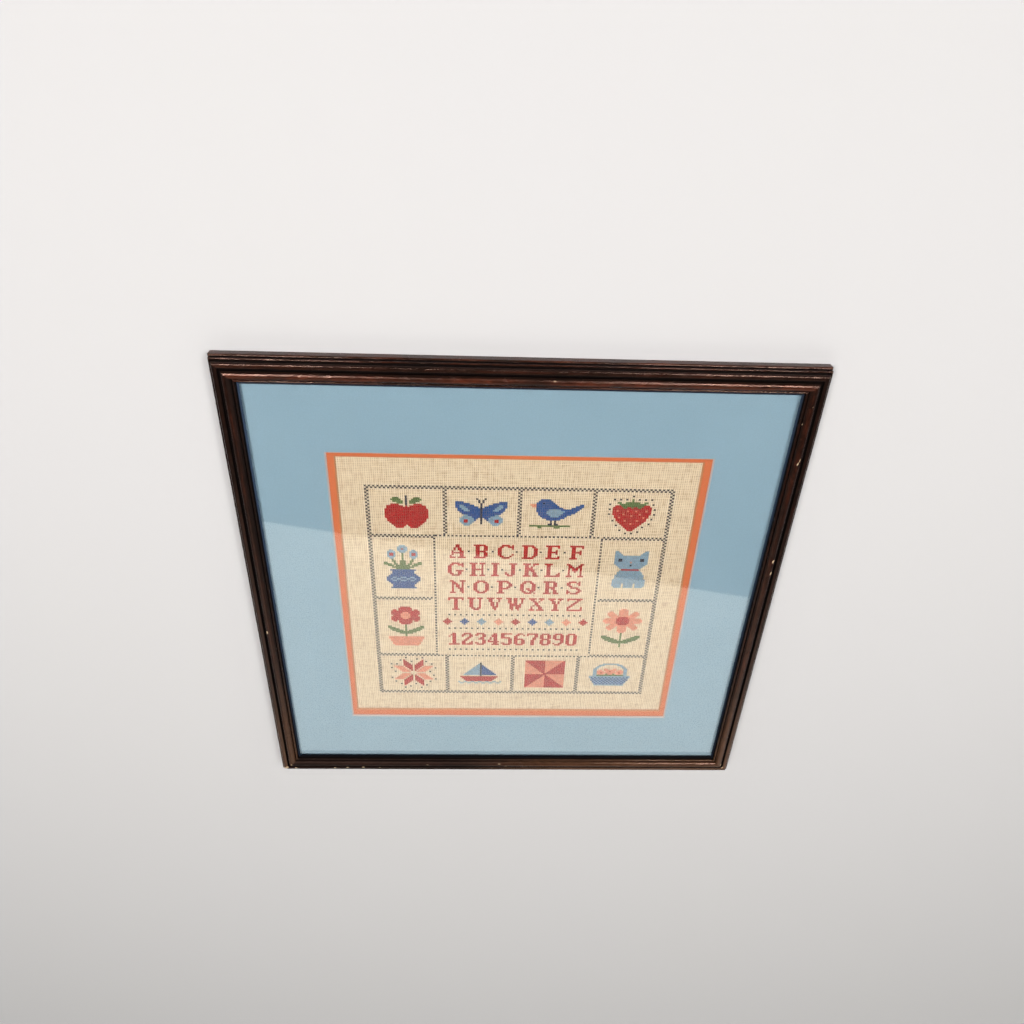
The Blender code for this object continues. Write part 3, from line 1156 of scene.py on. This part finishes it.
def lay_motifs():
    width, height = WORK
    for left, room, head, foot in BLOCKS:
        centred(MOTIFS[head], left, LINE, room, BAND, dots=head in DOTTED)
        centred(MOTIFS[foot], left, height - LINE - BAND, room, BAND, dots=foot in DOTTED)
    tall = height // 2 - 1 - BAND - 2 * LINE
    upper, lower = BAND + 2 * LINE, height // 2 + 1
    right = width - LINE - SIDE
    for name, left, top in (
        ("vase", LINE, upper), ("pot", LINE, lower), ("cat", right, upper), ("daisy", right, lower)
    ):
        centred(MOTIFS[name], left, top, SIDE, tall)


def spread_letters(text, left, top, width, sign):
    """A row of letters in equal gaps, with a dot in the middle of each gap."""
    shapes = [LETTERS[letter].split("/") for letter in text]
    spare = width - sum(len(shape[0]) for shape in shapes)
    gap = min(4, (spare - 2 * FIELD_MARGIN) // (len(text) - 1))
    column = left + (spare - gap * (len(text) - 1)) // 2
    for k, shape in enumerate(shapes):
        put_rows(shape, column, top, sign)
        column += len(shape[0])
        if k < len(shapes) - 1 and gap >= 3:
            put(column + gap // 2 - (gap % 2 == 0), top + 4, "N")
        column += gap


def lay_field():
    left = SIDE + 2 * LINE
    width = WORK[0] - 2 * left
    top = BAND + 2 * LINE + FIELD_MARGIN
    for text in ("ABCDEF", "GHIJKLM", "NOPQRS", "TUVWXYZ"):
        spread_letters(text, left, top, width, "R")
        top += LETTER_STEP
    dotted(left + 6, top, width - 12, 1, DOT_STEP)
    for k, sign in enumerate("RBSPRBSPR"):
        middle = left + width // 2 + (k - 4) * DIAMOND_STEP
        for x in range(-2, 3):
            for y in range(-2, 3):
                if abs(x) + abs(y) <= 2:
                    put(middle + x, top + 5 + y, sign)
    dotted(left + 6, top + 10, width - 12, 1, DOT_STEP)
    spread_letters("1234567890", left, top + 14, width, "R")
    dotted(left + 6, top + 26, width - 12, 1, DOT_STEP)


lay_borders()
lay_motifs()
lay_field()
tally = {sign: sum(mark == sign for mark in chart.values()) for sign in "RBNSPG"}
print("stitches:", len(chart), tally)

# %% [markdown]
# ## The linen
# The ground is an even weave with 14 stitches to the inch, a little wider than high because
# the cloth was pulled when it was mounted. Its surface is a field of small pads, one for each
# stitch, with a dip between them where the needle goes. Only the part in the window needs
# that relief. The sheet is one closed mesh, and it lies as stretched as the real one.

# %% Linen sheet
PITCH = (277.0 / 148 * MM, 256.0 / 146 * MM)
WORK_MIDDLE = (1.4 * MM, -2.7 * MM)
RELIEF_REACH = (165.5 * MM, 157.0 * MM)
PAD_RISE = 0.16 * MM
# How far a pad's top strays sideways, and up or down, in millimetres.
PAD_STRAYS = 0.12
PAD_UNEVEN = 0.03
cloth_low, cloth_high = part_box("cloth")
CLOTH_SIZE = (cloth_high.x - cloth_low.x, cloth_high.y - cloth_low.y)
CLOTH_TOP = cloth_high.z


def slack(x, y):
    """The stretched cloth still rises and falls by a hair."""
    return 0.07 * MM * noise.noise(Vector((x * 14, y * 14, 0.3)))


def linen_sheet():
    """The cloth as one closed mesh: pads in the window, a plain margin, edges and underside."""
    first = [
        -math.ceil((RELIEF_REACH[axis] + WORK_MIDDLE[axis]) / PITCH[axis]) for axis in (0, 1)
    ]
    last = [math.ceil((RELIEF_REACH[axis] - WORK_MIDDLE[axis]) / PITCH[axis]) for axis in (0, 1)]
    columns, rows = last[0] - first[0], last[1] - first[1]
    draw = random.Random(7)

    def place(i, j):
        return WORK_MIDDLE[0] + (first[0] + i) * PITCH[0], WORK_MIDDLE[1] + (first[1] + j) * PITCH[1]

    points, faces = [], []
    for j in range(rows + 1):
        for i in range(columns + 1):
            x, y = place(i, j)
            points.append((x, y, CLOTH_TOP - PAD_RISE + slack(x, y)))
    corners = len(points)
    for j in range(rows):
        for i in range(columns):
            x, y = place(i + 0.5, j + 0.5)
            x += draw.uniform(-PAD_STRAYS, PAD_STRAYS) * MM
            y += draw.uniform(-PAD_STRAYS, PAD_STRAYS) * MM
            uneven = draw.uniform(-PAD_UNEVEN, PAD_UNEVEN) * MM
            points.append((x, y, CLOTH_TOP + slack(x, y) + uneven))
    wide = columns + 1
    for j in range(rows):
        for i in range(columns):
            a = j * wide + i
            b, c, d = a + 1, a + wide + 1, a + wide
            middle = corners + j * columns + i
            faces += [(a, b, middle), (b, c, middle), (c, d, middle), (d, a, middle)]
    rim = list(range(columns))
    rim += [columns + j * wide for j in range(rows)]
    rim += [rows * wide + i for i in range(columns, 0, -1)]
    rim += [j * wide for j in range(rows, 0, -1)]
    count = len(rim)
    edge, foot = len(points), len(points) + count
    half = (CLOTH_SIZE[0] / 2, CLOTH_SIZE[1] / 2)
    for height in (CLOTH_TOP - PAD_RISE / 2, cloth_low.z):
        for index in rim:
            x, y, _ = points[index]
            i, j = index % wide, index // wide
            x = -half[0] if i == 0 else half[0] if i == columns else x
            y = -half[1] if j == 0 else half[1] if j == rows else y
            points.append((x, y, height))
    points.append((0.0, 0.0, cloth_low.z))
    hub = len(points) - 1
    for k in range(count):
        after = (k + 1) % count
        faces.append((rim[k], rim[after], edge + after, edge + k))
        faces.append((edge + k, edge + after, foot + after, foot + k))
        faces.append((foot + k, foot + after, hub))
    mesh = bpy.data.meshes.new("linen_ground")
    mesh.from_pydata(points, [], faces)
    finish_normals(mesh, 60)
    return mesh


linen = new_piece("linen_ground", linen_sheet(), "linen", "cloth")
print("linen triangles:", sum(len(p.vertices) - 2 for p in linen.data.polygons))

# %% [markdown]
# ## The weave's finish
# Threads of uneven thickness make the cloth's look: some are paler, some thicker, and a hole shows
# at each corner of a stitch. Waves along X and Y, at the pitch of the work, draw the holes and the
# threads, and noise that is stretched along a thread makes the slubs. The dark of the holes, and of
# faint lines through them, is painted shade.

# %% Woven linen
LINEN_PALE = linear(244, 223, 194)
LINEN_MID = linear(233, 210, 178)
LINEN_DEEP = linear(210, 183, 151)
LINEN_HOLE_SHADE = linear(134, 108, 80)
# How fine the slubs are along X, Y and Z, as repeats per metre.
SLUBS_UP = (560, 70, 1)
SLUBS_ACROSS = (70, 600, 1)


def woven_linen():
    """The cloth's finish: holes darkened as painted shade, threads over and under, and slubs."""
    cloth = Finish("woven_linen", 0.88)
    place = cloth.add("ShaderNodeSeparateXYZ")
    cloth.feed(place.inputs[0], cloth.place)

    def phase(axis, waves):
        """The place along an axis as an angle, with this many waves to a stitch."""
        from_middle = cloth.maths("SUBTRACT", place.outputs[axis], WORK_MIDDLE[axis])
        return cloth.maths("MULTIPLY", from_middle, 2 * math.pi * waves / PITCH[axis])

    across = cloth.maths("COSINE", phase(0, 1))
    up = cloth.maths("COSINE", phase(1, 1))
    hole = cloth.maths("MULTIPLY", cloth.spread(across, 0.0, 0.8), cloth.spread(up, 0.0, 0.8))
    warp = cloth.maths("COSINE", phase(0, 4))
    weft = cloth.maths("COSINE", phase(1, 4))
    over = cloth.maths("SINE", phase(0, 2))
    under = cloth.maths("SINE", phase(1, 2))
    crossing = cloth.spread(cloth.maths("MULTIPLY", over, under), -0.6, 0.6)
    threads = cloth.mix(crossing, warp, weft)
    slub_up = cloth.cloud(cloth.scaled(cloth.place, SLUBS_UP), 1.0, detail=2, roughness=0.6)
    slub_across = cloth.cloud(cloth.scaled(cloth.place, SLUBS_ACROSS), 1.0, detail=2, roughness=0.6)
    slubs = cloth.mix(0.45, slub_up, slub_across)
    base = cloth.ramp(slubs, [(0.36, LINEN_DEEP), (0.48, LINEN_MID), (0.62, LINEN_PALE)])
    base = cloth.mix(cloth.spread(threads, -1.0, 0.6, 0.16, 0.0), base, LINEN_DEEP)
    # The dark holes and faint dark lines through them are painted shade.
    base = cloth.mix(cloth.spread(across, 0.2, 1.0, 0.0, 0.10), base, LINEN_HOLE_SHADE)
    base = cloth.mix(cloth.maths("MULTIPLY", hole, 0.9), base, LINEN_HOLE_SHADE)
    cloth.colour(base)
    height = cloth.maths("ADD", cloth.maths("MULTIPLY", threads, 0.35), slubs)
    height = cloth.maths("SUBTRACT", height, cloth.maths("MULTIPLY", hole, 1.2))
    cloth.bump(height, 0.16 * MM, 0.7)
    cloth.shader.inputs["Sheen Weight"].default_value = 0.15
    cloth.shader.inputs["Specular IOR Level"].default_value = 0.2
    return cloth.material


linen.data.materials.append(woven_linen())
print("finish:", linen.data.materials[0].name)

# %% [markdown]
# ## The floss
# Stranded cotton has a soft sheen and a visible twist. Each colour is one finish. The twist
# follows two attributes that the stitch carries, along its length and round it, and a third
# one gives every stitch a tone of its own, as uneven tension does. A darker line along the
# twist is painted shade.

# %% Floss colours
FLOSS = {
    "R": ("floss_red", linear(188, 11, 7)),
    "B": ("floss_blue", linear(34, 82, 150)),
    "N": ("floss_navy", linear(34, 38, 62)),
    "S": ("floss_sky", linear(142, 170, 190)),
    "P": ("floss_salmon", linear(236, 152, 122)),
    "G": ("floss_green", linear(100, 122, 66)),
}
# How often the twist comes back along a leg, and round it.
TURNS_ALONG = 5.0
TURNS_AROUND = 2.0


def floss(name, colour):
    """One colour's finish, with a line of painted shade in the twist's groove."""
    strand = Finish(name, 0.6)
    along, around, tone = (strand.attribute(key) for key in ("along", "around", "tone"))
    lengthwise = strand.maths("MULTIPLY", along, TURNS_ALONG)
    turns = strand.maths("ADD", lengthwise, strand.maths("MULTIPLY", around, TURNS_AROUND))
    twist = strand.maths("SINE", strand.maths("MULTIPLY", turns, 2 * math.pi))
    # The darker line along the twist is painted shade in the groove between plies.
    twist_shade = tuple(value * 0.62 for value in colour[:3]) + (1.0,)
    pale = tuple(min(1.0, value * 1.22 + 0.004) for value in colour[:3]) + (1.0,)
    worn = strand.cloud(strand.place, 45, detail=2)
    shade = strand.mix(0.4, tone, worn)
    base = strand.ramp(shade, [(0.25, colour), (0.75, pale)])
    strand.colour(strand.mix(strand.spread(twist, -1.0, 0.2, 0.5, 0.0), base, twist_shade))
    strand.bump(twist, 0.05 * MM, 0.6)
    strand.shader.inputs["Sheen Weight"].default_value = 0.06
    strand.shader.inputs["Specular IOR Level"].default_value = 0.15
    return strand.material


print("floss colours:", [name for name, _ in FLOSS.values()])

# %% [markdown]
# ## A cross stitch in Geometry Nodes
# Each stitch is two short legs over one another, from hole to hole. The tree draws a leg as a
# low arch, gives it a flat oval section, adds the second leg a little higher, and puts the
# pair on every point of the chart with a slight turn and size of its own. It ends by making
# the copies real, because a plain mesh is what the part keeps.

# %% Geometry Nodes helpers


def start_tree(name, inputs):
    """A tree with a Geometry input and output, the named inputs, and a dictionary of sockets."""
    tree = bpy.data.node_groups.new(name, "GeometryNodeTree")
    tree.interface.new_socket("Geometry", in_out="INPUT", socket_type="NodeSocketGeometry")
    for label, kind in inputs:
        tree.interface.new_socket(label, in_out="INPUT", socket_type="NodeSocket" + kind)
    tree.interface.new_socket("Geometry", in_out="OUTPUT", socket_type="NodeSocketGeometry")
    entry = tree.nodes.new("NodeGroupInput")
    return tree, {socket.name: socket for socket in entry.outputs if socket.name}


def node_in(tree, kind, settings=(), **inputs):
    """Adds a node. A value that is a socket is linked, and any other one is set."""
    node = tree.nodes.new(kind)
    for key, value in dict(settings).items():
        setattr(node, key, value)
    for label, value in inputs.items():
        socket = node.inputs[int(label[1:])] if label[0] == "_" else node.inputs[label.replace("_", " ")]
        if isinstance(value, bpy.types.NodeSocket):
            tree.links.new(value, socket)
        else:
            socket.default_value = value
    return node


def run_tree(piece, tree, values):
    """Runs the tree on the piece, and keeps the result as the piece's plain mesh."""
    modifier = piece.modifiers.new(tree.name, "NODES")
    modifier.node_group = tree
    for item in tree.interface.items_tree:
        if item.item_type == "SOCKET" and item.in_out == "INPUT" and item.name in values:
            modifier[item.identifier] = values[item.name]
    evaluated = piece.evaluated_get(bpy.context.evaluated_depsgraph_get())
    mesh = bpy.data.meshes.new_from_object(evaluated)
    piece.modifiers.remove(modifier)
    mesh.name = piece.name
    piece.data = mesh
    return piece


# %% Cross stitch tree
STITCH_SIZES = {
    "Half Width": 0.37 * PITCH[0], "Half Height": 0.37 * PITCH[1], "Strand Half": 0.50 * MM,
    "Strand Rise": 0.19 * MM, "Lower Arch": 0.44 * MM, "Upper Arch": 0.95 * MM,
}
LEG_STEPS = 3
SECTION_SIDES = 5


def stitch_tree():
    labels = [(label, "Float") for label in STITCH_SIZES] + [("Seed", "Int"), ("Material", "Material")]
    tree, given = start_tree("cross_stitches", labels)

    def maths(operation, first, second):
        return node_in(tree, "ShaderNodeMath", {"operation": operation}, _0=first, _1=second).outputs[0]

    def leg(side, arch):
        """An arched strand from one corner to the opposite one, as a tube."""
        x = maths("MULTIPLY", given["Half Width"], side)
        ends = []
        for sign in (-1.0, 1.0):
            ends.append(
                node_in(
                    tree, "ShaderNodeCombineXYZ",
                    X=maths("MULTIPLY", x, sign), Y=maths("MULTIPLY", given["Half Height"], sign),
                ).outputs[0]
            )
        top = node_in(tree, "ShaderNodeCombineXYZ", Z=arch).outputs[0]
        line = node_in(
            tree, "GeometryNodeCurveQuadraticBezier",
            Resolution=LEG_STEPS, Start=ends[0], Middle=top, End=ends[1],
        ).outputs[0]
        upright = node_in(tree, "GeometryNodeSetCurveNormal", {"mode": "Z_UP"}, Curve=line).outputs[0]
        share = node_in(tree, "GeometryNodeSplineParameter").outputs["Factor"]
        marked = node_in(
            tree, "GeometryNodeStoreNamedAttribute", {"data_type": "FLOAT", "domain": "POINT"},
            Geometry=upright, Name="along", Value=share,
        ).outputs[0]
        return marked

    ring = node_in(tree, "GeometryNodeCurvePrimitiveCircle", Resolution=SECTION_SIDES, Radius=1.0).outputs[0]
    index = node_in(tree, "GeometryNodeInputIndex").outputs[0]
    ring = node_in(
        tree, "GeometryNodeStoreNamedAttribute", {"data_type": "FLOAT", "domain": "POINT"},
        Geometry=ring, Name="around", Value=maths("DIVIDE", index, float(SECTION_SIDES)),
    ).outputs[0]
    flat = node_in(tree, "ShaderNodeCombineXYZ", X=given["Strand Half"], Y=given["Strand Rise"], Z=1.0)
    oval = node_in(tree, "GeometryNodeTransform", Geometry=ring, Scale=flat.outputs[0]).outputs[0]
    legs = []
    for side, arch in ((1.0, given["Lower Arch"]), (-1.0, given["Upper Arch"])):
        tube = node_in(
            tree, "GeometryNodeCurveToMesh", Curve=leg(side, arch), Profile_Curve=oval, Fill_Caps=True
        )
        legs.append(tube.outputs[0])
    stitch = tree.nodes.new("GeometryNodeJoinGeometry")
    for tube in legs:
        tree.links.new(tube, stitch.inputs[0])

    def random_value(kind, low, high, seed_step):
        seed = maths("ADD", given["Seed"], float(seed_step))
        node = node_in(tree, "FunctionNodeRandomValue", {"data_type": kind})
        first = 0 if kind == "FLOAT_VECTOR" else 2
        node.inputs[first].default_value = low
        node.inputs[first + 1].default_value = high
        tree.links.new(seed, node.inputs["Seed"])
        return node.outputs[0 if kind == "FLOAT_VECTOR" else 1]

    turn = random_value("FLOAT_VECTOR", (-0.03, -0.03, -0.07), (0.03, 0.03, 0.07), 1)
    size = random_value("FLOAT_VECTOR", (0.95, 0.95, 0.9), (1.05, 1.05, 1.12), 2)
    copies = node_in(
        tree, "GeometryNodeInstanceOnPoints",
        Points=given["Geometry"], Instance=stitch.outputs[0], Rotation=turn, Scale=size,
    ).outputs[0]
    toned = node_in(
        tree, "GeometryNodeStoreNamedAttribute", {"data_type": "FLOAT", "domain": "INSTANCE"},
        Geometry=copies, Name="tone", Value=random_value("FLOAT", 0.0, 1.0, 3),
    ).outputs[0]
    real = node_in(tree, "GeometryNodeRealizeInstances", Geometry=toned).outputs[0]
    smooth = node_in(tree, "GeometryNodeSetShadeSmooth", Geometry=real).outputs[0]
    painted = node_in(
        tree, "GeometryNodeSetMaterial", Geometry=smooth, Material=given["Material"]
    ).outputs[0]
    leave = tree.nodes.new("NodeGroupOutput")
    tree.links.new(painted, leave.inputs[0])
    return tree


stitches = stitch_tree()
print("tree:", stitches.name, "nodes:", len(stitches.nodes))

# %% Work the stitches
STITCH_LIFT = 0.05 * MM
SEED = 14


def stitched(sign):
    """All stitches of one colour as one piece."""
    name, colour = FLOSS[sign]
    points = []
    for (column, row), mark in sorted(chart.items()):
        if mark == sign:
            x = WORK_MIDDLE[0] + (column + 0.5 - WORK[0] / 2) * PITCH[0]
            y = WORK_MIDDLE[1] + (WORK[1] / 2 - row - 0.5) * PITCH[1]
            points.append((x, y, CLOTH_TOP + slack(x, y) + STITCH_LIFT))
    mesh = bpy.data.meshes.new("stitches_" + name)
    mesh.from_pydata(points, [], [])
    piece = bpy.data.objects.new("stitches_" + name, mesh)
    scene.collection.objects.link(piece)
    values = {**STITCH_SIZES, "Seed": SEED + len(points), "Material": floss(name, colour)}
    run_tree(piece, stitches, values)
    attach(piece, "root")
    return piece


work = [stitched(sign) for sign in FLOSS]
for piece in work:
    print(piece.name, "triangles:", sum(len(p.vertices) - 2 for p in piece.data.polygons))

# %% [markdown]
# ## Glass
# The pane is clear float glass, 2 mm thick. A picture under glass needs light to pass in and
# out freely, so the surface is transparent where it doesn't mirror, and mirrors more as the
# view gets flatter. The share is about 5 percent head on, and the rest comes by the fifth
# power of the flatness. A faint haze of dust keeps it from looking empty.

# %% Clear glass
GLASS_TINT = (0.975, 0.985, 0.98, 1.0)
MIRROR_HEAD_ON = 0.052
# The mirror's roughness where the pane is clean, and where it is dusty.
HAZE = (0.01, 0.035)


def clear_glass():
    """Clear where it doesn't mirror. The finish's own shader makes way for the mix of both."""
    pane = Finish("clear_glass", 0.03)
    tree = pane.tree
    through = tree.nodes.new("ShaderNodeBsdfTransparent")
    through.inputs["Color"].default_value = GLASS_TINT
    gloss = tree.nodes.new("ShaderNodeBsdfGlossy")
    gloss.inputs["Color"].default_value = (1.0, 1.0, 1.0, 1.0)
    haze = pane.cloud(pane.place, 12, detail=4)
    pane.feed(gloss.inputs["Roughness"], pane.spread(haze, 0.3, 0.7, *HAZE))
    facing = tree.nodes.new("ShaderNodeLayerWeight")
    facing.inputs["Blend"].default_value = 0.5
    flatness = pane.maths("POWER", facing.outputs["Facing"], 5.0)
    mirror = pane.maths("MULTIPLY_ADD", flatness, 1 - MIRROR_HEAD_ON, MIRROR_HEAD_ON)
    joined = tree.nodes.new("ShaderNodeMixShader")
    tree.links.new(mirror, joined.inputs[0])
    tree.links.new(through.outputs[0], joined.inputs[1])
    tree.links.new(gloss.outputs[0], joined.inputs[2])
    output = next(node for node in tree.nodes if node.type == "OUTPUT_MATERIAL")
    tree.links.new(joined.outputs[0], output.inputs["Surface"])
    tree.nodes.remove(pane.shader)
    return pane.material


def repaint(node, finish):
    """Gives a CAD node that stays in view its finish."""
    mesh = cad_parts[node].data
    mesh.materials.clear()
    mesh.materials.append(finish)


repaint("glass", clear_glass())

# %% [markdown]
# ## Backing board
# The back is closed with a plain grey-brown board. It is flat, so its CAD solid stays, and
# only its finish is new: pressed pulp with darker flecks and a slight tooth.

# %% Pulp board
PULP_DARK = linear(128, 104, 78)
PULP_PALE = linear(176, 150, 118)


def pulp_board():
    """Pressed pulp: slow clouds and darker flecks."""
    board = Finish("pulp_board", 0.9)
    slow = board.cloud(board.place, 7, detail=3)
    flecks = board.cloud(board.scaled(board.place, (700, 1300, 700)), 1.0, detail=5, roughness=0.75)
    board.colour(board.ramp(board.mix(0.5, slow, flecks), [(0.32, PULP_DARK), (0.68, PULP_PALE)]))
    board.bump(flecks, 0.1 * MM, 0.6)
    board.shader.inputs["Specular IOR Level"].default_value = 0.2
    return board.material


repaint("backing_board", pulp_board())
print("back finished")
